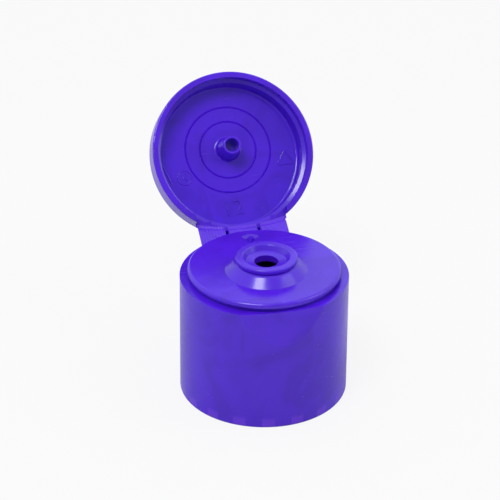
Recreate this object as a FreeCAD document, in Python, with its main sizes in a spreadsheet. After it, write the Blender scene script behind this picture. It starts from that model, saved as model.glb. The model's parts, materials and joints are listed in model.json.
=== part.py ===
import FreeCAD, Part
import math
import os
import Sketcher

# One-piece flip top closure: a skirt that screws on a bottle neck, a raised deck
# with a pouring nozzle, and a lid on a living hinge, stored open as it springs.
# Millimetres. Z is the closure's axis with 0 at the foot; the hinge is at +Y.
# The lid is drawn closed and its body is then swung open about the hinge axis.

DIMENSIONS = {
    # skirt and ledge
    "cap_radius": 14.0,
    "foot_radius": 14.05,
    "skirt_height": 21.2,
    "bore_radius": 12.1,
    "bore_top": 18.8,
    "entry_chamfer": 0.3,
    "foot_round": 0.3,
    # raised deck, levels above the ledge
    "deck_rise": 1.5,
    "deck_radius": 12.7,
    "deck_waist_radius": 12.2,
    "deck_waist_rise": 0.35,
    "deck_belly_rise": 0.7,
    "deck_round": 0.55,
    "deck_flat": 12.3,
    "deck_thickness": 1.3,
    "roof_radius": 10.9,
    # pouring nozzle, about its own axis in front of the cap's
    "nozzle_offset": 1.2,
    "well_radius": 5.7,
    "dome_radius": 6.8,
    "dome_shoulder_radius": 5.35,
    "dome_shoulder_rise": 2.85,
    "neck_radius": 4.8,
    "neck_rise": 3.2,
    "ring_radius": 5.15,
    "ring_low_rise": 3.38,
    "ring_rise": 4.04,
    "ring_round": 0.28,
    "mouth_radius": 3.85,
    "funnel_radius": 3.35,
    "funnel_rise": 3.2,
    "orifice_radius": 2.0,
    "orifice_rise": 3.0,
    "orifice_low_rise": 1.9,
    "chamber_radius": 4.2,
    "chamber_rise": 2.1,
    # seals under the deck
    "plug_radius": 8.9,
    "plug_tip_radius": 8.7,
    "plug_bore_radius": 8.0,
    "plug_tip_bore_radius": 8.2,
    "plug_length": 2.3,
    "bead_radius": 10.2,
    "bead_width": 0.7,
    "bead_height": 0.35,
    # foot notches
    "notch_count": 18,
    "notch_reach": 13.35,
    "notch_width": 2.1,
    "notch_height": 1.6,
    "notch_first": -80,
    # thumb recess
    "thumb_depth": 1.19,
    "thumb_drop": 5.65,
    "thumb_curve_radius": 36,
    "thumb_reach": 8.5,
    # gate dimple and nub
    "gate_y": 9.5,
    "gate_radius": 1.6,
    "gate_depth": 0.4,
    "gate_nub_radius": 0.5,
    "gate_nub_rise": 0.2,
    # hinge, levels from the hinge axis; the axis is over the ledge's rear edge
    "open_angle": 126.86,
    "hinge_y": 14.15,
    "hinge_rise": 0.15,
    "hinge_half_width": 7.95,
    "hinge_half_height": 1.55,
    "hinge_curve_radius": 30.6,
    "hinge_inner_y": 12.75,
    "strap_thickness": 0.5,
    "strap_half_width": 2.55,
    "wing_inner_x": 3.05,
    "wing_outer_x": 7.7,
    "strap_arch": 0.15,
    "root_height": 0.3,
    "seat_clearance": 0.15,
    "gusset_inner_x": 5.2,
    "gusset_back_y": 11.4,
    "gusset_height": 2.0,
    "gusset_run_in": 0.9,
    "relief_height": 1.8,
    "relief_half_width": 5.5,
    # lid, drawn closed, levels above the ledge
    "lip_gap": 0.1,
    "lip_bore_radius": 13.0,
    "shoulder_low_rise": 1.7,
    "shoulder_high_rise": 1.95,
    "dish_radius": 12.4,
    "dish_floor_radius": 12.28,
    "dish_rise": 4.8,
    "lid_top_radius": 13.92,
    "lid_top_rise": 5.95,
    "lid_round": 1.7,
    "lip_round": 0.25,
    "dish_round": 0.45,
    "pin_tip_radius": 1.55,
    "pin_root_radius": 2.0,
    "pin_hole_radius": 1.18,
    "pin_hole_depth": 2.6,
    "pin_tip_rise": 0.5,
    "pin_round": 0.14,
    "pin_fillet": 0.5,
    "outer_ring_radius": 7.47,
    "inner_ring_radius": 4.94,
    "floor_ring_width": 0.34,
    "floor_ring_height": 0.18,
}

doc = FreeCAD.newDocument("FlipTopCap")
sheet = doc.addObject("Spreadsheet::Sheet", "Dims")
for row, (alias, value) in enumerate(DIMENSIONS.items(), start=1):
    sheet.set("A%d" % row, alias)
    sheet.set("B%d" % row, str(value))
    sheet.setAlias("B%d" % row, alias)
doc.recompute()


def dims(formula):
    """Turn a formula in bare dimension names into a FreeCAD expression."""
    words = sorted(DIMENSIONS, key=len, reverse=True)
    out, i = "", 0
    while i < len(formula):
        if formula[i].isalpha():
            j = i
            while j < len(formula) and (formula[j].isalnum() or formula[j] == "_"):
                j += 1
            word = formula[i:j]
            out += "Dims." + word if word in words else word
            i = j
        else:
            out += formula[i]
            i += 1
    return out


def number(obj, formula):
    """Value of a formula, worked out by the document itself."""
    value = obj.evalExpression(dims(formula))
    return float(getattr(value, "Value", value))


def bind(obj, prop, formula):
    obj.setExpression(prop, dims(formula))


def new_body(label):
    body = doc.addObject("PartDesign::Body", label)
    body.Label = label
    return body


def new_sketch(body, name, plane="XY_Plane", level=None):
    """Sketch on one of the body's origin planes, lifted to a level if one is given."""
    sketch = body.newObject("Sketcher::SketchObject", name)
    support = [f for f in body.Origin.OriginFeatures if f.Role == plane][0]
    sketch.AttachmentSupport = [(support, "")]
    sketch.MapMode = "FlatFace"
    if level is not None:
        bind(sketch, "AttachmentOffset.Base.z", level)
    return sketch


def pin_point(sketch, geo, pos, x, y):
    """Tie a point to sheet formulas; a coordinate of "0" is put on the axis."""
    for formula, axis, kind in ((x, -2, "DistanceX"), (y, -1, "DistanceY")):
        if formula is None:
            continue
        if formula == "0":
            sketch.addConstraint(Sketcher.Constraint("PointOnObject", geo, pos, axis))
        else:
            value = number(sketch, formula)
            i = sketch.addConstraint(Sketcher.Constraint(kind, -1, 1, geo, pos, value))
            sketch.setExpression("Constraints[%d]" % i, dims(formula))


def outline(sketch, points):
    """Closed outline of straight lines through points given as formula pairs."""
    xy = [FreeCAD.Vector(number(sketch, x), number(sketch, y), 0) for x, y in points]
    last = len(xy) - 1
    for i, start in enumerate(xy):
        sketch.addGeometry(Part.LineSegment(start, xy[(i + 1) % len(xy)]), False)
    for i in range(len(xy)):
        j = 0 if i == last else i + 1
        sketch.addConstraint(Sketcher.Constraint("Coincident", i, 2, j, 1))
    for i, (x, y) in enumerate(points):
        pin_point(sketch, i, 1, x, y)


def circle(sketch, x, y, radius):
    centre = FreeCAD.Vector(number(sketch, x), number(sketch, y), 0)
    geo = sketch.addGeometry(
        Part.Circle(centre, FreeCAD.Vector(0, 0, 1), number(sketch, radius)), False)
    pin_point(sketch, geo, 3, x, y)
    i = sketch.addConstraint(Sketcher.Constraint("Radius", geo, number(sketch, radius)))
    sketch.setExpression("Constraints[%d]" % i, dims(radius))


def arc_panel(sketch, half_width, crown, bend, far_side):
    """Panel across the Y axis with one bowed edge.

    The bowed edge crosses the axis at the level crown with the radius bend and
    ends at +/- half_width. The far edge is straight, at the level far_side.
    """
    w, c, r, far_y = (number(sketch, f) for f in (half_width, crown, bend, far_side))
    up = 1 if c > 0 else -1
    centre_y = c - up * r
    end_y = centre_y + up * math.sqrt(r * r - w * w)
    tilt = math.asin(w / r)
    mid = math.pi / 2 * up
    sketch.addGeometry(Part.ArcOfCircle(
        Part.Circle(FreeCAD.Vector(0, centre_y, 0), FreeCAD.Vector(0, 0, 1), r),
        mid - tilt, mid + tilt), False)
    sketch.addGeometry(Part.LineSegment(
        FreeCAD.Vector(w, far_y, 0), FreeCAD.Vector(-w, far_y, 0)), False)
    for sign, bow_end, far_end in ((1, 1 if up > 0 else 2, 1), (-1, 2 if up > 0 else 1, 2)):
        side = sketch.addGeometry(Part.LineSegment(
            FreeCAD.Vector(sign * w, end_y, 0), FreeCAD.Vector(sign * w, far_y, 0)), False)
        sketch.addConstraint(Sketcher.Constraint("Coincident", side, 1, 0, bow_end))
        sketch.addConstraint(Sketcher.Constraint("Coincident", side, 2, 1, far_end))
        sketch.addConstraint(Sketcher.Constraint("Vertical", side))
        pin_point(sketch, side, 1, ("" if sign > 0 else "-") + half_width, None)
    radius = sketch.addConstraint(Sketcher.Constraint("Radius", 0, r))
    sketch.setExpression("Constraints[%d]" % radius, dims(bend))
    pin_point(sketch, 0, 3, "0", "%s %s (%s)" % (crown, "-" if up > 0 else "+", bend))
    sketch.addConstraint(Sketcher.Constraint("Horizontal", 1))
    pin_point(sketch, 1, 1, None, far_side)


def hidden_axis(sketch, x):
    """Construction line parallel to the sketch's vertical axis, to turn a profile about."""
    at = number(sketch, x)
    geo = sketch.addGeometry(
        Part.LineSegment(FreeCAD.Vector(at, 0, 0), FreeCAD.Vector(at, 30, 0)), True)
    pin_point(sketch, geo, 1, x, "0")
    sketch.addConstraint(Sketcher.Constraint("Vertical", geo))
    i = sketch.addConstraint(Sketcher.Constraint("DistanceY", geo, 1, geo, 2, 30))
    sketch.setExpression("Constraints[%d]" % i, dims("skirt_height + 8.8"))


def turned(body, kind, name, sketch, axis="V_Axis"):
    """Revolution or Groove of a profile about an axis of its sketch."""
    feature = body.newObject("PartDesign::" + kind, name)
    feature.Profile = sketch
    feature.ReferenceAxis = (sketch, [axis])
    feature.Angle = 360
    return feature


def extruded(body, kind, name, sketch, length, upward=False):
    """Pad or Pocket of a sketch; a pocket runs down unless upward is set."""
    feature = body.newObject("PartDesign::" + kind, name)
    feature.Profile = sketch
    feature.Type = 0
    bind(feature, "Length", length)
    feature.Reversed = upward if kind == "Pocket" else not upward
    return feature


def lofted(body, kind, name, sections, ruled=True):
    """Additive or subtractive loft through sketches, in order."""
    loft = body.newObject("PartDesign::" + kind, name)
    loft.Profile = sections[0]
    loft.Sections = sections[1:]
    loft.Ruled = ruled
    loft.Closed = False
    return loft


def gussets(body, name, level, rise):
    """Mirrored pair of corner blocks that carry the hinge's ends outside the round wall.

    Each is full size at level and runs into the wall at the formula rise above it.
    """
    sections = []
    for part, width, run_in, shift in (("Root", "hinge_half_width", "0", "0"),
                                       ("End", "hinge_half_width - gusset_run_in",
                                        "gusset_run_in", rise)):
        sketch = new_sketch(body, name + part, level="%s + (%s)" % (level, shift))
        outer = "hinge_inner_y + strap_thickness - %s - (%s) ^ 2 / (2 * hinge_curve_radius)"
        outline(sketch, [
            ("gusset_inner_x", "gusset_back_y"),
            (width, "gusset_back_y"),
            (width, outer % (run_in, width)),
            ("gusset_inner_x", outer % (run_in, "gusset_inner_x")),
        ])
        sections.append(sketch)
    right = lofted(body, "AdditiveLoft", name, sections)
    doc.recompute()
    pair = body.newObject("PartDesign::Mirrored", name + "Pair")
    pair.Originals = [right]
    pair.MirrorPlane = ([f for f in body.Origin.OriginFeatures if f.Role == "YZ_Plane"][0], [""])
    body.Tip = pair
    return pair


def circle_edges(shape, radius, level, centre_y=0.0):
    """Names of the full or part circles of this radius at this level."""
    names = []
    for i, edge in enumerate(shape.Edges, start=1):
        curve = edge.Curve
        if not isinstance(curve, Part.Circle):
            continue
        if (abs(curve.Radius - radius) < 1e-4 and abs(curve.Center.z - level) < 1e-4
                and abs(curve.Center.x) < 1e-4 and abs(curve.Center.y - centre_y) < 1e-4):
            names.append("Edge%d" % i)
    return names


def rounded(body, name, base, edges, radius):
    """Fillet on edges given as (radius, level, centre) formula triples."""
    doc.recompute()
    found = []
    for r, level, centre in edges:
        names = circle_edges(base.Shape, number(base, r), number(base, level),
                             number(base, centre))
        assert names, "no edge for %s: %s at %s" % (name, r, level)
        found += names
    fillet = body.newObject("PartDesign::Fillet", name)
    fillet.Base = (base, found)
    bind(fillet, "Radius", radius)
    return fillet


def swung(fraction):
    """Placement formula: turned open about the hinge axis by a part of the full swing."""
    return ("placement(vector(0; 0; 0); rotation(vector(1; 0; 0); -open_angle * %s);"
            " vector(0; hinge_y; skirt_height + hinge_rise))" % fraction)


# ---------------------------------------------------------------- cap base
base = new_body("cap_base")

profile = new_sketch(base, "SkirtProfile", "XZ_Plane")
outline(profile, [
    ("bore_radius + entry_chamfer", "0"),
    ("foot_radius", "0"),
    ("cap_radius", "skirt_height"),
    ("deck_waist_radius", "skirt_height"),
    ("deck_waist_radius", "skirt_height + deck_waist_rise"),
    ("deck_radius", "skirt_height + deck_belly_rise"),
    ("deck_radius", "skirt_height + deck_rise"),
    ("0", "skirt_height + deck_rise"),
    ("0", "skirt_height + deck_rise - deck_thickness"),
    ("roof_radius", "skirt_height + deck_rise - deck_thickness"),
    ("bore_radius", "bore_top"),
    ("bore_radius", "entry_chamfer"),
])
turned(base, "Revolution", "Skirt", profile)

plug = new_sketch(base, "PlugProfile", "XZ_Plane")
outline(plug, [
    ("plug_bore_radius", "skirt_height + deck_rise - deck_thickness / 2"),
    ("plug_radius", "skirt_height + deck_rise - deck_thickness / 2"),
    ("plug_radius", "skirt_height + deck_rise - deck_thickness"),
    ("plug_tip_radius", "skirt_height + deck_rise - deck_thickness - plug_length"),
    ("plug_tip_bore_radius", "skirt_height + deck_rise - deck_thickness - plug_length"),
    ("plug_bore_radius", "skirt_height + deck_rise - deck_thickness"),
])
turned(base, "Revolution", "PlugSeal", plug)

bead = new_sketch(base, "BeadProfile", "XZ_Plane")
outline(bead, [
    ("bead_radius - bead_width / 2", "skirt_height + deck_rise - deck_thickness / 2"),
    ("bead_radius + bead_width / 2", "skirt_height + deck_rise - deck_thickness / 2"),
    ("bead_radius + bead_width / 2", "skirt_height + deck_rise - deck_thickness"),
    ("bead_radius", "skirt_height + deck_rise - deck_thickness - bead_height"),
    ("bead_radius - bead_width / 2", "skirt_height + deck_rise - deck_thickness"),
])
turned(base, "Revolution", "SealingBead", bead)

# The deck's rear edge is trimmed flat so that the lid's wall passes behind it.
rear = new_sketch(base, "DeckFlatOutline", level="skirt_height + deck_rise")
outline(rear, [
    ("-hinge_half_width", "deck_flat"),
    ("hinge_half_width", "deck_flat"),
    ("hinge_half_width", "cap_radius + 1"),
    ("-hinge_half_width", "cap_radius + 1"),
])
trim = extruded(base, "Pocket", "DeckFlat", rear, "deck_rise - deck_waist_rise")

well = new_sketch(base, "WellOutline", level="skirt_height + deck_rise")
circle(well, "0", "-nozzle_offset", "well_radius")
extruded(base, "Pocket", "NozzleWell", well, "deck_thickness + 0.5")

# Nozzle wall, drawn on the YZ plane and turned about the nozzle's own axis.
wall = new_sketch(base, "NozzleProfile", "YZ_Plane")
outline(wall, [(r + " - nozzle_offset", "skirt_height + " + z) for r, z in (
    ("orifice_radius", "orifice_low_rise"),
    ("orifice_radius", "orifice_rise"),
    ("funnel_radius", "funnel_rise"),
    ("mouth_radius", "ring_rise"),
    ("ring_radius", "ring_rise"),
    ("ring_radius", "ring_low_rise"),
    ("neck_radius", "neck_rise"),
    ("dome_shoulder_radius", "dome_shoulder_rise"),
    ("dome_radius", "deck_rise"),
    ("dome_radius", "deck_rise - deck_thickness / 2"),
    ("well_radius", "deck_rise - deck_thickness"),
    ("well_radius - 0.2", "deck_rise - deck_thickness"),
    ("chamber_radius", "chamber_rise"),
)])
hidden_axis(wall, "-nozzle_offset")
nozzle = turned(base, "Revolution", "Nozzle", wall, "Axis0")

scoop = []
for part, rise in (("Top", "deck_waist_rise"), ("Foot", "-thumb_drop * 1.25")):
    section = new_sketch(base, "Thumb" + part, level="skirt_height + " + rise)
    arc_panel(section, "thumb_reach",
              "-cap_radius + thumb_depth * (1 + (%s) / thumb_drop)" % rise,
              "thumb_curve_radius", "-cap_radius - 3")
    scoop.append(section)
lofted(base, "SubtractiveLoft", "ThumbRecess", scoop)

notch = new_sketch(base, "NotchOutline")
bind(notch, "AttachmentOffset.Rotation.Angle", "notch_first")
outline(notch, [
    ("bore_radius - 0.3", "-notch_width / 2"),
    ("notch_reach", "-notch_width / 2"),
    ("notch_reach", "notch_width / 2"),
    ("bore_radius - 0.3", "notch_width / 2"),
])
cut = extruded(base, "Pocket", "FootNotch", notch, "notch_height", upward=True)
doc.recompute()
ring = base.newObject("PartDesign::PolarPattern", "FootNotches")
ring.Originals = [cut]
ring.Axis = ([f for f in base.Origin.OriginFeatures if f.Role == "Z_Axis"][0], [""])
ring.Angle = 360
bind(ring, "Occurrences", "notch_count")
base.Tip = ring

# Shallow dished gate mark with the sheared nub in it.
gate = new_sketch(base, "GateProfile", "YZ_Plane")
outline(gate, [
    ("gate_y", "skirt_height + deck_rise - gate_depth"),
    ("gate_y + gate_radius * 0.6", "skirt_height + deck_rise - gate_depth * 0.75"),
    ("gate_y + gate_radius", "skirt_height + deck_rise"),
    ("gate_y + gate_radius", "skirt_height + deck_rise + 0.5"),
    ("gate_y", "skirt_height + deck_rise + 0.5"),
])
hidden_axis(gate, "gate_y")
turned(base, "Groove", "GateDimple", gate, "Axis0")
nub = new_sketch(base, "NubProfile", "YZ_Plane")
outline(nub, [
    ("gate_y", "skirt_height + deck_rise - gate_depth - 0.2"),
    ("gate_y + gate_nub_radius * 1.3", "skirt_height + deck_rise - gate_depth - 0.2"),
    ("gate_y + gate_nub_radius", "skirt_height + deck_rise + gate_nub_rise"),
    ("gate_y", "skirt_height + deck_rise + gate_nub_rise"),
])
hidden_axis(nub, "gate_y")
turned(base, "Revolution", "GateNub", nub, "Axis0")

# Hinge seat: gussets under the wings, a flat-floored recess and a relief below it.
gussets(base, "SeatGusset", "skirt_height + hinge_rise - hinge_half_height",
        "-gusset_height")
seat = new_sketch(base, "SeatOutline", level="skirt_height")
arc_panel(seat, "hinge_half_width", "hinge_inner_y - seat_clearance",
          "hinge_curve_radius", "cap_radius + 2")
extruded(base, "Pocket", "HingeSeat", seat, "hinge_half_height - hinge_rise")
relief = new_sketch(base, "ReliefOutline", level="skirt_height")
arc_panel(relief, "relief_half_width", "hinge_inner_y + strap_thickness + seat_clearance",
          "hinge_curve_radius", "cap_radius + 2")
relieved = extruded(base, "Pocket", "HingeRelief", relief,
                    "hinge_half_height - hinge_rise + relief_height")

foot = rounded(base, "FootRound", relieved, [("foot_radius", "0", "0")], "foot_round")
deck = rounded(base, "DeckRound", foot, [
    ("deck_radius", "skirt_height + deck_rise", "0"),
], "deck_round")
lip = rounded(base, "RingRound", deck, [
    ("ring_radius", "skirt_height + ring_rise", "-nozzle_offset"),
    ("mouth_radius", "skirt_height + ring_rise", "-nozzle_offset"),
], "ring_round")

# ---------------------------------------------------------------- flip lid
lid = new_body("flip_lid")

dish = new_sketch(lid, "LidProfile", "XZ_Plane")
outline(dish, [
    ("lip_bore_radius", "skirt_height + lip_gap"),
    ("cap_radius", "skirt_height + lip_gap"),
    ("lid_top_radius", "skirt_height + lid_top_rise"),
    ("0", "skirt_height + lid_top_rise"),
    ("0", "skirt_height + dish_rise"),
    ("dish_floor_radius", "skirt_height + dish_rise"),
    ("dish_radius", "skirt_height + shoulder_high_rise"),
    ("lip_bore_radius", "skirt_height + shoulder_low_rise"),
])
turned(lid, "Revolution", "Dish", dish)

# Wall cut away between the hinge's ends, up to the level where the hinge roots.
window = new_sketch(lid, "WindowOutline", level="skirt_height")
outline(window, [
    ("-hinge_half_width", "hinge_half_width"),
    ("hinge_half_width", "hinge_half_width"),
    ("hinge_half_width", "cap_radius + 2"),
    ("-hinge_half_width", "cap_radius + 2"),
])
extruded(lid, "Pocket", "HingeWindow", window, "hinge_rise + hinge_half_height", upward=True)

gussets(lid, "LidGusset", "skirt_height + hinge_rise + hinge_half_height", "gusset_height")
groove = new_sketch(lid, "LidReliefOutline", level="skirt_height")
arc_panel(groove, "relief_half_width", "hinge_inner_y + strap_thickness + seat_clearance",
          "hinge_curve_radius", "cap_radius + 2")
extruded(lid, "Pocket", "LidRelief", groove,
         "hinge_rise + hinge_half_height + relief_height", upward=True)

# Hollow sealing pin and the two fine rings round it, in line with the nozzle.
pin = new_sketch(lid, "PinProfile", "YZ_Plane")
outline(pin, [
    ("pin_hole_radius - nozzle_offset", "skirt_height + pin_tip_rise"),
    ("pin_tip_radius - nozzle_offset", "skirt_height + pin_tip_rise"),
    ("pin_root_radius - nozzle_offset", "skirt_height + dish_rise"),
    ("pin_root_radius - nozzle_offset", "skirt_height + dish_rise + 0.3"),
    ("-nozzle_offset", "skirt_height + dish_rise + 0.3"),
    ("-nozzle_offset", "skirt_height + pin_tip_rise + pin_hole_depth"),
    ("pin_hole_radius * 0.9 - nozzle_offset",
     "skirt_height + pin_tip_rise + pin_hole_depth"),
])
hidden_axis(pin, "-nozzle_offset")
turned(lid, "Revolution", "SealingPin", pin, "Axis0")
for name, radius in (("OuterRing", "outer_ring_radius"), ("InnerRing", "inner_ring_radius")):
    ridge = new_sketch(lid, name + "Profile", "YZ_Plane")
    outline(ridge, [
        (radius + " - floor_ring_width / 2 - nozzle_offset", "skirt_height + dish_rise"),
        (radius + " - nozzle_offset", "skirt_height + dish_rise - floor_ring_height"),
        (radius + " + floor_ring_width / 2 - nozzle_offset", "skirt_height + dish_rise"),
        (radius + " + floor_ring_width / 2 - nozzle_offset",
         "skirt_height + dish_rise + 0.3"),
        (radius + " - floor_ring_width / 2 - nozzle_offset",
         "skirt_height + dish_rise + 0.3"),
    ])
    hidden_axis(ridge, "-nozzle_offset")
    last = turned(lid, "Revolution", name, ridge, "Axis0")

top = rounded(lid, "LidRound", last, [
    ("lid_top_radius", "skirt_height + lid_top_rise", "0"),
], "lid_round")
lip = rounded(lid, "LipRound", top, [
    ("cap_radius", "skirt_height + lip_gap", "0"),
], "lip_round")
floor = rounded(lid, "FloorRound", lip, [
    ("dish_floor_radius", "skirt_height + dish_rise", "0"),
], "dish_round")
tip = rounded(lid, "PinRound", floor, [
    ("pin_tip_radius", "skirt_height + pin_tip_rise", "-nozzle_offset"),
    ("pin_hole_radius", "skirt_height + pin_tip_rise", "-nozzle_offset"),
], "pin_round")
rounded(lid, "PinFillet", tip, [
    ("pin_root_radius", "skirt_height + dish_rise", "-nozzle_offset"),
], "pin_fillet")
bind(lid, "Placement", swung("1"))

# ---------------------------------------------------------------- snap hinge
hinge = new_body("snap_hinge")

root = new_sketch(hinge, "RootOutline",
                  level="skirt_height + hinge_rise - hinge_half_height")
arc_panel(root, "wing_outer_x", "hinge_inner_y + strap_thickness",
          "hinge_curve_radius", "hinge_inner_y - 1.2")
extruded(hinge, "Pad", "RootBand", root, "root_height", upward=True)


def strap(name, near_x, far_x):
    """Loft one link of the hinge from its root on the base to its root on the lid.

    The three sections lie on planes that swing with the lid: none, half and all
    of the way. The middle one sits on the straight line between the two roots,
    lifted by the small arch that the springing link keeps.
    """
    sections = []
    half_turn = "open_angle / 2"
    for part, level, fraction in (("Root", "-hinge_half_height", "0"),
                                  ("Middle", "0", "0.5"),
                                  ("Tip", "hinge_half_height", "1")):
        sketch = new_sketch(hinge, name + part)
        bind(sketch, "AttachmentOffset",
             swung(fraction) + " * placement(vector(0; 0; skirt_height + hinge_rise + (%s));"
             " rotation(vector(0; 0; 1); 0))" % level)
        corners = []
        for x in (near_x, far_x):
            inner = "(hinge_inner_y - (%s) ^ 2 / (2 * hinge_curve_radius))" % x
            if part == "Middle":
                reach = "(hinge_y - %s - strap_thickness / 2)" % inner
                inner = ("(hinge_y + hinge_half_height * sin(1deg * %s) - %s * cos(1deg * %s)"
                         " - strap_arch - strap_thickness / 2)" % (half_turn, reach, half_turn))
            corners.append((x, inner))
        (xa, ya), (xb, yb) = corners
        outline(sketch, [(xa, ya), (xb, yb), (xb, yb + " + strap_thickness"),
                         (xa, ya + " + strap_thickness")])
        sections.append(sketch)
    return lofted(hinge, "AdditiveLoft", name, sections, ruled=False)


strap("CentreStrap", "-strap_half_width", "strap_half_width")
strap("RightWing", "wing_inner_x", "wing_outer_x")
strap("LeftWing", "-wing_outer_x", "-wing_inner_x")

# ---------------------------------------------------------------- output
doc.recompute()
faults = [o.Name for o in doc.Objects if {"Invalid", "Error"} & set(o.State)]
assert not faults, "not computed: %s" % faults
os.makedirs("parts", exist_ok=True)
for body in (base, lid, hinge):
    shape = body.Shape
    assert not shape.isNull() and shape.isValid(), body.Label
    assert len(shape.Solids) == 1, body.Label
    shape.exportStep("parts/%s.step" % body.Label)
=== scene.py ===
"""Looks of a one-piece flip top cap: glossy purple polypropylene, lid sprung open.

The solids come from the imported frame. This script dresses them and adds what the solids
leave out: the neck thread, the springing hinge links and the small marks in the lid.
Lengths in the classes are millimetres; meshes are in metres in the frame's own axes.
"""
import json
import logging
import math
from dataclasses import dataclass
from enum import Enum

import bpy
import numpy as np
from mathutils import Matrix, Vector


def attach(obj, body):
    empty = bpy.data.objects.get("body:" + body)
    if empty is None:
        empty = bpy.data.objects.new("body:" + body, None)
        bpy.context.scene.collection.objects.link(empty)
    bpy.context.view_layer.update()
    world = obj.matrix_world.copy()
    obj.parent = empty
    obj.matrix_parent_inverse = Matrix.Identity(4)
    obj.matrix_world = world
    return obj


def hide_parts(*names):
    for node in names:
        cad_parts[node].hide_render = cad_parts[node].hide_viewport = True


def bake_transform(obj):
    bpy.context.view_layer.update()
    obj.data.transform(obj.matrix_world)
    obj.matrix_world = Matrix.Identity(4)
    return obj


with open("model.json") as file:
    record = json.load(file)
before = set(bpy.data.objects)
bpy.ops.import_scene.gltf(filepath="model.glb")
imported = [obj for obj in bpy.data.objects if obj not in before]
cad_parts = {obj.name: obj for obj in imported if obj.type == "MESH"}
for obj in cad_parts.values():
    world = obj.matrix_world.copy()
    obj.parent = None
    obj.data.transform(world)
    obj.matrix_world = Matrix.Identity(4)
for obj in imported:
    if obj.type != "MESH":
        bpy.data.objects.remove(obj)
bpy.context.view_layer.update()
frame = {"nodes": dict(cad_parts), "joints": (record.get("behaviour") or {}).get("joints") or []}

LOG = logging.getLogger("flip_top_cap")
MM = 0.001
HALF = 0.5
CAP_HEIGHT = 0.7  # height of the built-in font's digits, as a share of its size


# ------------------------------------------------------------------ colour and nodes
def linear(hex_colour: str) -> tuple[float, float, float, float]:
    """Turn an sRGB hex colour such as "#521dd4" into linear RGBA.

    Args:
        hex_colour: the colour, with its hash sign.

    Returns:
        Linear red, green and blue, and an alpha of one.
    """
    parts = np.array([int(hex_colour[i:i + 2], 16) for i in (1, 3, 5)]) / 255.0
    curve = np.where(parts <= 0.04045, parts / 12.92, ((parts + 0.055) / 1.055) ** 2.4)
    return (*map(float, curve), 1.0)


def add_node(tree: bpy.types.NodeTree, kind: str, settings: dict | None = None,
             values: dict | None = None, links: dict | None = None) -> bpy.types.Node:
    """Add one shader node.

    Args:
        tree: the node tree that gets it.
        kind: the node's type name.
        settings: attributes of the node, such as its operation.
        values: constants for its input sockets, by name or number.
        links: output sockets to join to its input sockets, by name or number.

    Returns:
        The new node.
    """
    node = tree.nodes.new(kind)
    for key, value in (settings or {}).items():
        setattr(node, key, value)
    for key, value in (values or {}).items():
        node.inputs[key].default_value = value
    for key, source in (links or {}).items():
        tree.links.new(source, node.inputs[key])
    return node


class Gloss(Enum):
    """How the mould half that shaped a surface was finished, as the plastic's roughness."""

    POLISHED = 0.17
    WIPED = 0.23
    FLEXED = 0.27


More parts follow.
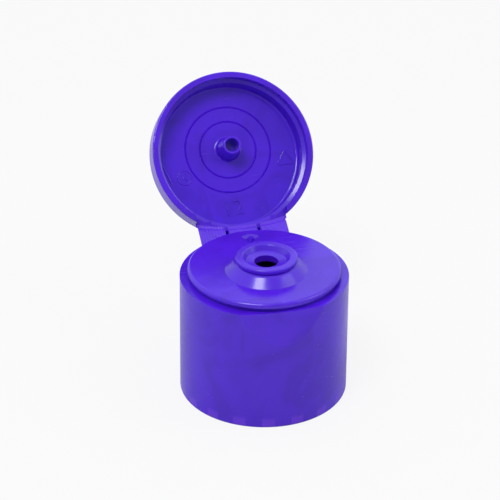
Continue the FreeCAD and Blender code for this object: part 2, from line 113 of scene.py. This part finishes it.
@dataclass(frozen=True)
class MouldedPolypropylene:
    """Pigmented polypropylene homopolymer, injection moulded against polished steel.

    The steel leaves a glossy skin with a very soft ripple. The resin is slightly
    see-through, so the colour seems to glow from inside; over the foot notches the light
    that shines through the thin wall is painted into the colour as paler patches.
    Handling leaves hairlines and a little dust. The real ripple is about 0.0035 mm high
    and the grain 0.0006 mm, too fine to show, so they are drawn ten and four times that.
    """

    name: str
    pigment: str = "#4b18cf"
    thick: str = "#4312bd"
    # Pale colour of random specks, also used for the painted glow over the foot notches.
    pale_speck_and_glow: str = "#7a3fe6"
    gloss: Gloss = Gloss.POLISHED
    glow: float = 0.12
    flow_mm: float = 9.0
    ripple_mm: float = 2.6
    ripple_drawn_mm: float = 0.035
    grain_mm: float = 0.16
    grain_drawn_mm: float = 0.0024
    hairline_mm: float = 0.09
    scratch_mm: float = 0.002
    dust: str = "#b9a6ea"
    dust_mm: float = 1.7
    notch_step_deg: float = 0.0
    notch_first_deg: float = 0.0
    wall_radius_mm: float = 14.0
    notch_side_mm: tuple[float, float] = (0.85, 1.25)
    notch_top_mm: tuple[float, float] = (1.1, 2.1)

    def _math(self, tree: bpy.types.NodeTree, operation: str, *terms: object
              ) -> bpy.types.NodeSocket:
        """Join numbers and sockets by one arithmetic operation.

        Args:
            tree: the node tree that gets the node.
            operation: the operation's name.
            terms: its inputs in order, each a number or a socket.

        Returns:
            The result's socket.
        """
        values = {i: t for i, t in enumerate(terms) if isinstance(t, (int, float))}
        links = {i: t for i, t in enumerate(terms) if not isinstance(t, (int, float))}
        return add_node(tree, "ShaderNodeMath", {"operation": operation}, values,
                        links).outputs[0]

    def _step(self, tree: bpy.types.NodeTree, value: bpy.types.NodeSocket, low: float,
              high: float, at_low: float = 0.0, at_high: float = 1.0
              ) -> bpy.types.NodeSocket:
        """Smooth step of a value between two limits.

        Args:
            tree: the node tree that gets the node.
            value: the value that is stepped.
            low: where the step starts.
            high: where it ends.
            at_low: result at and below low.
            at_high: result at and above high.

        Returns:
            The result's socket.
        """
        return add_node(tree, "ShaderNodeMapRange", {"interpolation_type": "SMOOTHSTEP"},
                        {"From Min": low, "From Max": high, "To Min": at_low,
                         "To Max": at_high}, {"Value": value}).outputs["Result"]

    def _painted_glow_patches(self, tree: bpy.types.NodeTree, place: bpy.types.NodeSocket
                      ) -> bpy.types.NodeSocket:
        """Mask of the painted glow over each foot notch: the light through the thin wall
        there, painted into the colour.

        The angle about the axis is folded into one notch's share of the circle, turned
        into a distance along the wall and cut off softly at the notch's half width; the
        height cuts the mask off above the notch.

        Args:
            tree: the node tree that gets the nodes.
            place: the object's coordinates in millimetres.

        Returns:
            Socket that is one over a notch and zero elsewhere.
        """
        axes = add_node(tree, "ShaderNodeSeparateXYZ", links={0: place}).outputs
        angle = self._math(tree, "ARCTAN2", axes[1], axes[0])
        turns = self._math(tree, "MULTIPLY_ADD", angle,
                           math.degrees(1.0) / self.notch_step_deg,
                           HALF - self.notch_first_deg / self.notch_step_deg)
        off = self._math(tree, "ABSOLUTE", self._math(
            tree, "SUBTRACT", self._math(tree, "FRACT", turns), HALF))
        arc_mm = self._math(tree, "MULTIPLY", off,
                            math.radians(self.notch_step_deg) * self.wall_radius_mm)
        across = self._step(tree, arc_mm, *self.notch_side_mm, 1.0, 0.0)
        up = self._step(tree, axes[2], *self.notch_top_mm, 1.0, 0.0)
        return self._math(tree, "MULTIPLY", across, up)

    def build(self) -> bpy.types.Material:
        """Make the node material.

        Returns:
            The material, with all its patterns in object coordinates scaled to mm.
        """
        material = bpy.data.materials.new(self.name)
        material.use_nodes = True
        tree = material.node_tree
        tree.nodes.clear()
        where = add_node(tree, "ShaderNodeTexCoord").outputs["Object"]
        place = add_node(tree, "ShaderNodeVectorMath", {"operation": "SCALE"},
                         {"Scale": 1.0 / MM}, {0: where}).outputs[0]

        # Pigment that streams slightly as the melt fills the mould.
        flow = add_node(tree, "ShaderNodeTexNoise", values={
            "Scale": 1.0 / self.flow_mm, "Detail": 3.0, "Distortion": 1.4},
            links={"Vector": place}).outputs[0]
        speck = add_node(tree, "ShaderNodeTexNoise", values={
            "Scale": 1.0 / (2.5 * self.grain_mm), "Detail": 2.0},
            links={"Vector": place}).outputs[0]
        body = add_node(tree, "ShaderNodeMix", {"data_type": "RGBA"},
                        {6: linear(self.pigment), 7: linear(self.thick)},
                        {0: self._step(tree, flow, 0.38, 0.66, 0.0, 0.85)}).outputs[2]
        body = add_node(tree, "ShaderNodeMix", {"data_type": "RGBA"},
                        {7: linear(self.pale_speck_and_glow)},
                        {0: self._step(tree, speck, 0.62, 0.86, 0.0, 0.10),
                         6: body}).outputs[2]
        # Painted light: paler patches over the foot notches, where light shining through the
        # thin wall is painted into the colour.
        if self.notch_step_deg:
            painted_glow_share = self._math(tree, "MULTIPLY", self._painted_glow_patches(tree, place), 0.36)
            body = add_node(tree, "ShaderNodeMix", {"data_type": "RGBA"},
                            {7: linear(self.pale_speck_and_glow)}, {0: painted_glow_share, 6: body}).outputs[2]

        # Hairlines from handling: noise drawn out along one direction, thinly kept.
        strokes = add_node(tree, "ShaderNodeMapping", values={
            "Rotation": (0.4, 0.9, 0.6), "Scale": (0.05, 1.0, 1.0)},
            links={0: place}).outputs[0]
        lines = add_node(tree, "ShaderNodeTexNoise", values={
            "Scale": 0.12 / self.hairline_mm, "Detail": 4.0, "Roughness": 0.7},
            links={"Vector": strokes}).outputs[0]
        hairline = self._step(tree, lines, 0.66, 0.72)

        # Dust: the few cells whose centre is near, kept only where a coarse noise says so.
        cells = add_node(tree, "ShaderNodeTexVoronoi", values={
            "Scale": 1.0 / self.dust_mm, "Randomness": 1.0},
            links={"Vector": place}).outputs[0]
        patchy = self._step(tree, flow, 0.50, 0.62)
        dust = self._math(tree, "MULTIPLY",
                          self._step(tree, cells, 0.022, 0.045, 1.0, 0.0), patchy)
        body = add_node(tree, "ShaderNodeMix", {"data_type": "RGBA"},
                        {7: linear(self.dust)},
                        {0: self._math(tree, "MULTIPLY", dust, 0.35), 6: body}).outputs[2]

        # Roughness varies with the flow and rises on hairlines and dust.
        rough = self._math(tree, "MULTIPLY_ADD", flow, 0.10, self.gloss.value - 0.05)
        rough = self._math(tree, "MULTIPLY_ADD", hairline, 0.14, rough)
        rough = self._math(tree, "MULTIPLY_ADD", dust, 0.4, rough)

        # Relief: the steel's ripple, then the fine grain, then the hairlines cut in.
        ripple = add_node(tree, "ShaderNodeTexNoise", values={
            "Scale": 1.0 / self.ripple_mm, "Detail": 1.0}, links={"Vector": place}).outputs[0]
        grain = add_node(tree, "ShaderNodeTexNoise", values={
            "Scale": 1.0 / self.grain_mm, "Detail": 2.0}, links={"Vector": place}).outputs[0]
        bump = add_node(tree, "ShaderNodeBump", values={
            "Strength": 1.0, "Distance": self.ripple_drawn_mm * MM},
            links={"Height": ripple}).outputs[0]
        bump = add_node(tree, "ShaderNodeBump", values={
            "Strength": 1.0, "Distance": self.grain_drawn_mm * MM},
            links={"Height": grain, "Normal": bump}).outputs[0]
        bump = add_node(tree, "ShaderNodeBump", {"invert": True}, {
            "Strength": 0.5, "Distance": self.scratch_mm * MM},
            {"Height": hairline, "Normal": bump}).outputs[0]

        shader = add_node(tree, "ShaderNodeBsdfPrincipled", values={
            "IOR": 1.49, "Metallic": 0.0, "Subsurface Weight": self.glow,
            "Subsurface Scale": 0.9 * MM, "Subsurface Radius": (0.9, 0.35, 1.6)},
            links={"Base Color": body, "Roughness": rough, "Normal": bump})
        add_node(tree, "ShaderNodeOutputMaterial", links={0: shader.outputs[0]})
        return material


# ------------------------------------------------------------------ meshes
def shell(name: str, rings: np.ndarray, smooth_deg: float = 40.0) -> bpy.types.Object:
    """Skin a stack of closed rings into one closed piece.

    Neighbouring rings are joined by quads, and the first and last are closed by a flat
    face each. Rings run anticlockwise seen from the side that the stack comes from.

    Args:
        name: the piece's name.
        rings: points in millimetres, ring by ring, shaped (rings, points, 3).
        smooth_deg: edges sharper than this stay crisp.

    Returns:
        The new object, in metres, at the origin.
    """
    count, size = rings.shape[:2]
    index = np.arange(count * size).reshape(count, size)
    a, b = index[:-1], index[1:]
    quads = np.stack([a, np.roll(a, -1, 1), np.roll(b, -1, 1), b], -1).reshape(-1, 4)
    faces = quads.tolist() + [index[0][::-1].tolist(), index[-1].tolist()]
    mesh = bpy.data.meshes.new(name)
    mesh.from_pydata((rings.reshape(-1, 3) * MM).tolist(), [], faces)
    mesh.shade_smooth()
    mesh.set_sharp_from_angle(angle=math.radians(smooth_deg))
    mesh.update()
    piece = bpy.data.objects.new(name, mesh)
    bpy.context.scene.collection.objects.link(piece)
    return piece


def dress(piece: bpy.types.Object, material: bpy.types.Material) -> None:
    """Give a piece one material and log its name, face count and material.

    Args:
        piece: the piece.
        material: its only material.
    """
    piece.data.materials.clear()
    piece.data.materials.append(material)
    LOG.info("%s: %d faces, %s", piece.name, len(piece.data.polygons), material.name)


@dataclass
class Swing:
    """The hinge line and how far the lid has swung about it from shut."""

    y: float
    z: float
    degrees: float

    def open(self, shut: np.ndarray, share: np.ndarray | float = 1.0) -> np.ndarray:
        """Carry points of the shut lid to where they are with the lid open.

        The offset from the hinge line is turned about X by share of the whole swing.

        Args:
            shut: points in millimetres, last axis x, y, z.
            share: part of the swing, one number or one for each point.

        Returns:
            The moved points.
        """
        turn = -np.radians(self.degrees) * np.asarray(share, float)
        dy, dz = shut[..., 1] - self.y, shut[..., 2] - self.z
        return np.stack([shut[..., 0], self.y + dy * np.cos(turn) - dz * np.sin(turn),
                         self.z + dy * np.sin(turn) + dz * np.cos(turn)], -1)


# ------------------------------------------------------------------ sub-assemblies
@dataclass
class CapBase:
    """Skirt, deck and nozzle, with the screw thread that grips the bottle's neck."""

    bore: float = 12.1
    crest: float = 11.25
    pitch: float = 3.175
    turns: float = 1.6
    start_z: float = 5.0
    root_width: float = 2.0
    crest_width: float = 0.75
    sunk: float = 0.12
    fade_deg: float = 30.0
    steps: int = 260

    def thread(self) -> bpy.types.Object:
        """Right-handed ridge inside the skirt.

        A six-cornered section is carried up a helix: at angle t it stands at height
        start + pitch * t / 2 pi. Its depth grows from almost nothing over the first
        stretch of the fade and falls again over the last, by a smooth step, and its
        width falls to about half. Its root is sunk in the wall.

        Returns:
            The thread as one piece.
        """
        t = np.linspace(0.0, 2 * np.pi * self.turns, self.steps)
        fade = np.clip(np.minimum(t, t[-1] - t) / np.radians(self.fade_deg), 0.04, 1.0)
        fade = fade * fade * (3 - 2 * fade)
        wall = self.bore + self.sunk
        depth = (wall - self.crest) * fade
        half_root, half_crest = self.root_width / 2, self.crest_width / 2
        root = np.full(self.steps, wall)
        radius = np.stack([root, wall - depth * 0.9, wall - depth,
                           wall - depth, wall - depth * 0.9, root], 1)
        side = np.array([half_root, half_crest * 1.25, half_crest * 0.8,
                         -half_crest * 0.8, -half_crest * 1.25, -half_root])
        rise = (self.start_z + self.pitch * t / (2 * np.pi))[:, None] + side * (
            0.45 + 0.55 * fade[:, None])
        rings = np.stack([radius * np.cos(t)[:, None], radius * np.sin(t)[:, None], rise],
                         -1)
        return shell("neck_thread", rings)

    def build(self, finish: bpy.types.Material) -> None:
        """Dress the solid and add the thread.

        Args:
            finish: the skirt's material.
        """
        dress(frame["nodes"]["cap_base"], finish)
        thread = self.thread()
        dress(thread, finish)
        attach(thread, "base")


@dataclass
class FlipLid:
    """Hollow lid with its pin, and the small moulded marks on its floor."""

    swing: Swing
    floor_z: float = 26.0
    mark_height: float = 0.10
    digit_bevel: float = 0.035
    digit_slim: float = 0.05
    line_width: float = 0.2
    ring_centre: tuple[float, float] = (-8.13, -2.98)
    ring_radius: float = 1.25
    triangle_centre: tuple[float, float] = (9.85, -1.5)
    triangle_radius: float = 1.75
    triangle_blunt: float = 0.86
    slit_from: tuple[float, float] = (-11.75, -0.6)
    slit_to: tuple[float, float] = (-10.45, -4.1)
    slit_width: float = 0.3

    def _on_floor(self, points: np.ndarray) -> np.ndarray:
        """Carry flat marks, drawn as x right, y up the open lid and z out of its floor."""
        shut = np.stack([points[..., 0], -points[..., 1], self.floor_z - points[..., 2]], -1)
        return self.swing.open(shut)

    def number(self, text: str, x: float, shut_y: float, height: float, turn_deg: float
               ) -> bpy.types.Object:
        """Raised plain digits on the lid's floor.

        Args:
            text: the digits.
            x: middle of the mark across the lid.
            shut_y: middle of the mark along the shut lid.
            height: height of a digit.
            turn_deg: how far the mark leans.

        Returns:
            The mark as a mesh piece.
        """
        curve = bpy.data.curves.new("digits_" + text, "FONT")
        curve.body = text
        curve.align_x, curve.align_y = "CENTER", "CENTER"
        curve.size = height / CAP_HEIGHT
        curve.extrude = self.mark_height
        curve.bevel_depth = self.digit_bevel
        curve.offset = -self.digit_slim
        drawn = bpy.data.objects.new("drawn", curve)
        mesh = bpy.data.meshes.new_from_object(drawn)
        bpy.data.objects.remove(drawn)
        mesh.transform(Matrix.Rotation(math.radians(turn_deg), 4, "Z"))
        flat = np.empty(len(mesh.vertices) * 3, np.float32)
        mesh.vertices.foreach_get("co", flat)
        points = flat.reshape(-1, 3).astype(float) + (x, -shut_y, 0.0)
        placed = (self._on_floor(points) * MM).astype(np.float32)
        mesh.vertices.foreach_set("co", placed.ravel())
        mesh.update()
        piece = bpy.data.objects.new("mark_" + text, mesh)
        bpy.context.scene.collection.objects.link(piece)
        return piece

    def bead(self, name: str, path: np.ndarray, width: float, height: float, closed: bool
             ) -> bpy.types.Object:
        """Fine raised line along a path on the floor.

        An oval section is carried along the path, square to it, with its lower half in
        the floor; an open path's section shrinks at both ends.

        Args:
            name: the piece's name.
            path: points of the path, x and y up the open lid, in millimetres.
            width: width of the line.
            height: how far it stands out.
            closed: whether the path comes back to its start.

        Returns:
            The piece.
        """
        if closed:
            path = np.vstack([path, path[:1]])
        along = np.gradient(path, axis=0)
        if closed:
            along[0] = along[-1] = path[1] - path[-2]
        along /= np.linalg.norm(along, axis=1)[:, None]
        across = np.stack([-along[:, 1], along[:, 0]], 1)
        arc = np.linspace(0, 2 * np.pi, 12, endpoint=False)
        slim = np.ones(len(path))
        if not closed:
            slim[[0, -1]] = 0.3
        slim = slim[:, None, None]
        offset = (np.cos(arc) * width / 2)[None, :, None] * across[:, None] * slim
        rise = np.broadcast_to(np.sin(arc) * height, (len(path), len(arc)))
        points = np.concatenate([path[:, None] + offset, rise[..., None] * slim], -1)
        return shell(name, self._on_floor(points)[:, ::-1], 60)

    def _triangle(self, turn: np.ndarray) -> np.ndarray:
        """Triangle with blunt corners about the origin.

        Each third of a turn runs straight from one corner to the next, and points
        further out than the blunting radius are drawn in to it.

        Args:
            turn: rising angles round one turn, one for each point.

        Returns:
            The outline's points in millimetres, shaped (points, 2).
        """
        corners = np.radians([90, 210, 330])
        share = (turn / (2 * np.pi) * 3) % 1.0
        side = (turn / (2 * np.pi) * 3).astype(int)
        start = np.stack([np.cos(corners), np.sin(corners)], 1)
        edge = (start[side] * (1 - share)[:, None]
                + np.roll(start, -1, 0)[side] * share[:, None])
        blunt = np.minimum(1.0, self.triangle_blunt / np.linalg.norm(edge, axis=1))
        return edge * (self.triangle_radius * blunt)[:, None]

    def build(self, finish: bpy.types.Material) -> None:
        """Dress the solid and set the marks on its floor.

        Args:
            finish: the lid's material.
        """
        dress(frame["nodes"]["flip_lid"], finish)
        turn = np.linspace(0, 2 * np.pi, 48, endpoint=False)
        ring = self.ring_centre + self.ring_radius * np.stack(
            [np.cos(turn), np.sin(turn)], 1)
        triangle = self._triangle(turn) + self.triangle_centre
        slit = np.linspace(self.slit_from, self.slit_to, 9)
        for piece in (self.number("12", -0.41, 9.15, 2.7, 4.0),
                      self.number("4", self.ring_centre[0], -self.ring_centre[1], 1.45, 0.0),
                      self.bead("mark_ring", ring, self.line_width, self.mark_height, True),
                      self.bead("mark_triangle", triangle, self.line_width,
                                self.mark_height, True),
                      self.bead("flow_line", slit, self.slit_width, self.mark_height,
                                False)):
            dress(piece, finish)
            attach(piece, "lid")


@dataclass
class SnapHinge:
    """Centre strap and two wings that spring the lid open or shut."""

    swing: Swing
    inner_y: float = 12.75
    curve_radius: float = 30.6
    thickness: float = 0.5
    half_height: float = 1.55
    arch: float = 0.15
    film: float = 0.42
    film_place: float = 0.10
    film_spread: float = 0.05
    overrun: float = 0.04
    edge_round: float = 0.12
    strap_x: float = 2.55
    wing_near: float = 3.05
    wing_far: float = 7.7
    wing_ribs: int = 8
    rib_height: float = 0.07
    band_top: float = 1.25
    band_back: float = 1.1
    band_round: float = 0.08
    bend_from: float = 0.12

    def _inner(self, x: np.ndarray) -> np.ndarray:
        """Inner face of the shut hinge: a shallow arc, x squared over twice its radius."""
        return self.inner_y - x ** 2 / (2 * self.curve_radius)

    def _centre(self, x: np.ndarray, s: np.ndarray) -> np.ndarray:
        """Middle surface of a link at x across and s along.

        A parabola through three points: the root on the base, the root on the lid and a
        middle point on the plane half way through the swing, lifted by the arch.

        Args:
            x: places across the cap, in millimetres.
            s: shares of the way from the base to the lid, shaped as x.

        Returns:
            The points in millimetres, with a last axis of x, y and z.
        """
        mid_y = self._inner(x) + self.thickness / 2
        zero = np.zeros_like(x)
        root = np.stack([x, mid_y, zero + self.swing.z - self.half_height], -1)
        tip = self.swing.open(np.stack([x, mid_y, zero + self.swing.z + self.half_height], -1))
        half = math.radians(self.swing.degrees / 2)
        reach = self.swing.y - mid_y
        middle_y = (self.swing.y + self.half_height * math.sin(half)
                    - reach * math.cos(half) - self.arch)
        middle = self.swing.open(np.stack([x, middle_y, zero + self.swing.z], -1), 0.5)
        s = s[..., None]
        return (root * (1 - s) * (1 - 2 * s) + middle * 4 * s * (1 - s)
                + tip * s * (2 * s - 1))

    def link(self, name: str, near: float, far: float, ribs: int, rib_height: float
             ) -> bpy.types.Object:
        """One link between the two roots.

        A flat rounded section runs along the middle surface. Its upper face dips at each
        end into a film hinge, by two bell curves, and carries fine ribs whose height
        follows a raised cosine across the link.

        Args:
            name: the piece's name.
            near: edge of the link nearest the middle, across the cap.
            far: its other edge.
            ribs: number of ribs on the upper face.
            rib_height: height of a rib.

        Returns:
            The piece.
        """
        across = 12 * max(ribs, 3) + 1
        r = self.edge_round
        out_in = np.linspace(0, 1, 5)
        drop = np.concatenate([out_in[::-1] ** 2 * r, np.zeros(across - 2), out_in ** 2 * r])
        x_top = np.concatenate([near + out_in ** 0.5 * r,
                                np.linspace(near + r, far - r, across)[1:-1],
                                far - out_in[::-1] ** 0.5 * r])
        rib = (0.5 - 0.5 * np.cos(2 * np.pi * ribs * np.clip(
            (x_top - near - 0.25) / (far - near - 0.5), 0, 1))) * rib_height
        s = np.linspace(-self.overrun, 1 + self.overrun, 46)
        x, along = np.meshgrid(np.concatenate([x_top, x_top[::-1]]), s)
        middle = self._centre(x, along)
        step = self._centre(x, along + 1e-4) - self._centre(x, along - 1e-4)
        step /= np.linalg.norm(step, axis=-1, keepdims=True)
        out = np.stack([np.zeros_like(x), -step[..., 2], step[..., 1]], -1)
        dips = [np.exp(-((s - place) / self.film_spread) ** 2)
                for place in (self.film_place, 1 - self.film_place)]
        film = self.film * (dips[0] + dips[1])
        half = self.thickness / 2
        ridge = rib[None] * (1 - film / self.film)[:, None]
        top = half * (1 - film)[:, None] - drop[None] + ridge
        bottom = -(half - drop)[::-1] + 0 * s[:, None]
        level = np.concatenate([top, bottom], 1)
        return shell(name, middle + out * level[..., None])

    def root_band(self) -> bpy.types.Object:
        """Low band that carries the three links on the base.

        A rectangle with one rounded corner is carried across the cap along the hinge's
        arc.

        Returns:
            The band as one piece.
        """
        x = np.linspace(-self.wing_far, self.wing_far, 60)
        low = self.swing.z - self.half_height - 0.05
        high, r = self.swing.z - self.band_top, self.band_round
        y0, y1 = -self.band_back, self.thickness
        loop = np.array([(y0, low), (y1, low), (y1, high - r), (y1 - 0.3 * r, high - 0.3 * r),
                         (y1 - r, high), (y0, high)])
        rings = np.stack([np.repeat(x[:, None], len(loop), 1),
                          self._inner(x)[:, None] + loop[None, :, 0],
                          np.broadcast_to(loop[:, 1], (len(x), len(loop)))], -1)
        return shell("hinge_root_band", rings)

    def build(self, finish: bpy.types.Material) -> None:
        """Make the three links and the band, and hide the solid hinge.

        Args:
            finish: the hinge's material.
        """
        near, far = self.wing_near, self.wing_far
        links = [self.link("hinge_centre_strap", -self.strap_x, self.strap_x, 1, 0.0),
                 self.link("hinge_right_wing", near, far, 1, 0.0),
                 self.link("hinge_left_wing", -far, -near, self.wing_ribs, self.rib_height)]
        zero = np.zeros(1)
        start = self._centre(zero, zero + self.bend_from)[0] * MM
        end = self._centre(zero, zero + 1 - self.bend_from)[0] * MM
        for piece in links:
            dress(piece, finish)
            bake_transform(piece)
        band = self.root_band()
        dress(band, finish)
        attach(band, "base")
        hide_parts("snap_hinge")


# ------------------------------------------------------------------ studio
@dataclass
class Softbox:
    """One rectangular studio lamp."""

    name: str
    azimuth: float
    elevation: float
    watts: float
    width_mm: float
    height_mm: float
    distance_mm: float = 500.0

    def build(self, aim: Vector) -> None:
        """Hang the lamp on a sphere round the aim point and turn it to face that point.

        Args:
            aim: the point, in metres.
        """
        lamp = bpy.data.lights.new(self.name, "AREA")
        lamp.shape = "RECTANGLE"
        lamp.size, lamp.size_y = self.width_mm * MM, self.height_mm * MM
        lamp.energy = self.watts
        holder = bpy.data.objects.new(self.name, lamp)
        a, e = math.radians(self.azimuth), math.radians(self.elevation)
        out = Vector((math.sin(a) * math.cos(e), -math.cos(a) * math.cos(e), math.sin(e)))
        holder.location = aim + out * self.distance_mm * MM
        holder.rotation_euler = out.to_track_quat("Z", "Y").to_euler()
        bpy.context.scene.collection.objects.link(holder)


@dataclass
class Studio:
    """White table, white surroundings, soft lamps and the camera."""

    azimuth: float = -13.647
    elevation: float = 29.135
    roll: float = 0.471
    distance_mm: float = 373.7
    lens_mm: float = 162.9
    aim_mm: tuple[float, float, float] = (0.0, 0.0, 21.2)
    slide_mm: tuple[float, float] = (-2.366, 3.894)
    sensor_mm: float = 36.0
    table_half_mm: float = 1500.0
    table_colour: str = "#c8c6cc"
    table_white: float = 0.86
    room_dim: float = 0.42
    room_bright: float = 1.0
    lamp_aim_mm: tuple[float, float, float] = (0.0, 6.0, 22.0)

    def camera(self) -> None:
        """Set the camera on its sphere, looking at the slid aim point, with a small roll."""
        a, e, r = (math.radians(v) for v in (self.azimuth, self.elevation, self.roll))
        back = Vector((math.sin(a) * math.cos(e), -math.cos(a) * math.cos(e), math.sin(e)))
        right = Vector((math.cos(a), math.sin(a), 0.0))
        up = back.cross(right)
        right, up = (right * math.cos(r) + up * math.sin(r),
                     up * math.cos(r) - right * math.sin(r))
        target = Vector(self.aim_mm) + right * self.slide_mm[0] + up * self.slide_mm[1]
        data = bpy.data.cameras.new("camera")
        data.lens, data.sensor_width = self.lens_mm, self.sensor_mm
        data.clip_start, data.clip_end = 0.01, 10.0
        camera = bpy.data.objects.new("camera", data)
        turn = Matrix((right, up, back)).transposed().to_4x4()
        turn.translation = (target + back * self.distance_mm) * MM
        camera.matrix_world = turn
        bpy.context.scene.collection.objects.link(camera)
        bpy.context.scene.camera = camera

    def table(self) -> None:
        """Flat pale table that looks white to the camera and still takes a faint shadow."""
        size = self.table_half_mm
        ring = np.array([(-size, -size, 0), (size, -size, 0), (size, size, 0),
                         (-size, size, 0)], float)
        mesh = bpy.data.meshes.new("table")
        mesh.from_pydata((ring * MM).tolist(), [], [(0, 1, 2, 3)])
        table = bpy.data.objects.new("table", mesh)
        bpy.context.scene.collection.objects.link(table)
        material = bpy.data.materials.new("white_laminate_table")
        material.use_nodes = True
        tree = material.node_tree
        tree.nodes.clear()
        ray = add_node(tree, "ShaderNodeLightPath").outputs
        matt = add_node(tree, "ShaderNodeBsdfDiffuse", values={
            "Color": linear(self.table_colour)}).outputs[0]
        white = add_node(tree, "ShaderNodeEmission", values={
            "Color": (1, 1, 1, 1), "Strength": 1.0}).outputs[0]
        share = add_node(tree, "ShaderNodeMath", {"operation": "MULTIPLY"},
                         {1: self.table_white},
                         {0: ray["Is Camera Ray"]}).outputs[0]
        mixed = add_node(tree, "ShaderNodeMixShader", links={0: share, 1: matt, 2: white})
        add_node(tree, "ShaderNodeOutputMaterial", links={0: mixed.outputs[0]})
        mesh.materials.append(material)

    def surroundings(self) -> None:
        """White room, dimmer on the camera's side.

        The light's strength follows the direction's Y part by a smooth step, and the
        camera itself sees plain white.
        """
        world = bpy.data.worlds.new("white_room")
        world.use_nodes = True
        tree = world.node_tree
        tree.nodes.clear()
        ray = add_node(tree, "ShaderNodeLightPath").outputs
        where = add_node(tree, "ShaderNodeTexCoord").outputs["Generated"]
        y = add_node(tree, "ShaderNodeSeparateXYZ", links={0: where}).outputs[1]
        strength = add_node(tree, "ShaderNodeMapRange", {"interpolation_type": "SMOOTHSTEP"},
                            {"From Min": -0.8, "From Max": 0.3,
                             "To Min": self.room_dim, "To Max": self.room_bright},
                            {"Value": y}).outputs["Result"]
        seen = add_node(tree, "ShaderNodeMath", {"operation": "MAXIMUM"}, None,
                        {0: strength, 1: ray["Is Camera Ray"]}).outputs[0]
        light = add_node(tree, "ShaderNodeBackground", values={
            "Color": (1.0, 1.0, 1.0, 1.0)}, links={"Strength": seen})
        add_node(tree, "ShaderNodeOutputWorld", links={0: light.outputs[0]})
        bpy.context.scene.world = world

    def build(self) -> None:
        """Set up the camera, table, room and lamps."""
        self.camera()
        self.table()
        self.surroundings()
        aim = Vector(self.lamp_aim_mm) * MM
        for lamp in (Softbox("key_softbox", -42.0, 60.0, 1.25, 170.0, 170.0),
                     Softbox("side_softbox", 68.0, 38.0, 0.45, 260.0, 320.0)):
            lamp.build(aim)
        bpy.context.scene.view_settings.view_transform = "Standard"


def main() -> None:
    """Build the studio and the cap, piece by piece."""
    logging.basicConfig(level=logging.INFO, format="%(name)s: %(message)s")
    joint = frame["joints"][0]
    swing = Swing(joint["pos_m"][1] / MM, joint["pos_m"][2] / MM, -joint["range_deg"][0])
    skirt = MouldedPolypropylene("moulded_polypropylene_skirt", gloss=Gloss.WIPED,
                                 notch_step_deg=20.0, notch_first_deg=-80.0).build()
    dish = MouldedPolypropylene("moulded_polypropylene_lid").build()
    flexed = MouldedPolypropylene("flexed_polypropylene_hinge", pigment="#5a27d8",
                                  thick="#4c1bcb", gloss=Gloss.FLEXED, glow=0.2).build()
    Studio().build()
    CapBase().build(skirt)
    FlipLid(swing).build(dish)
    SnapHinge(swing).build(flexed)


if __name__ == "__main__":
    main()
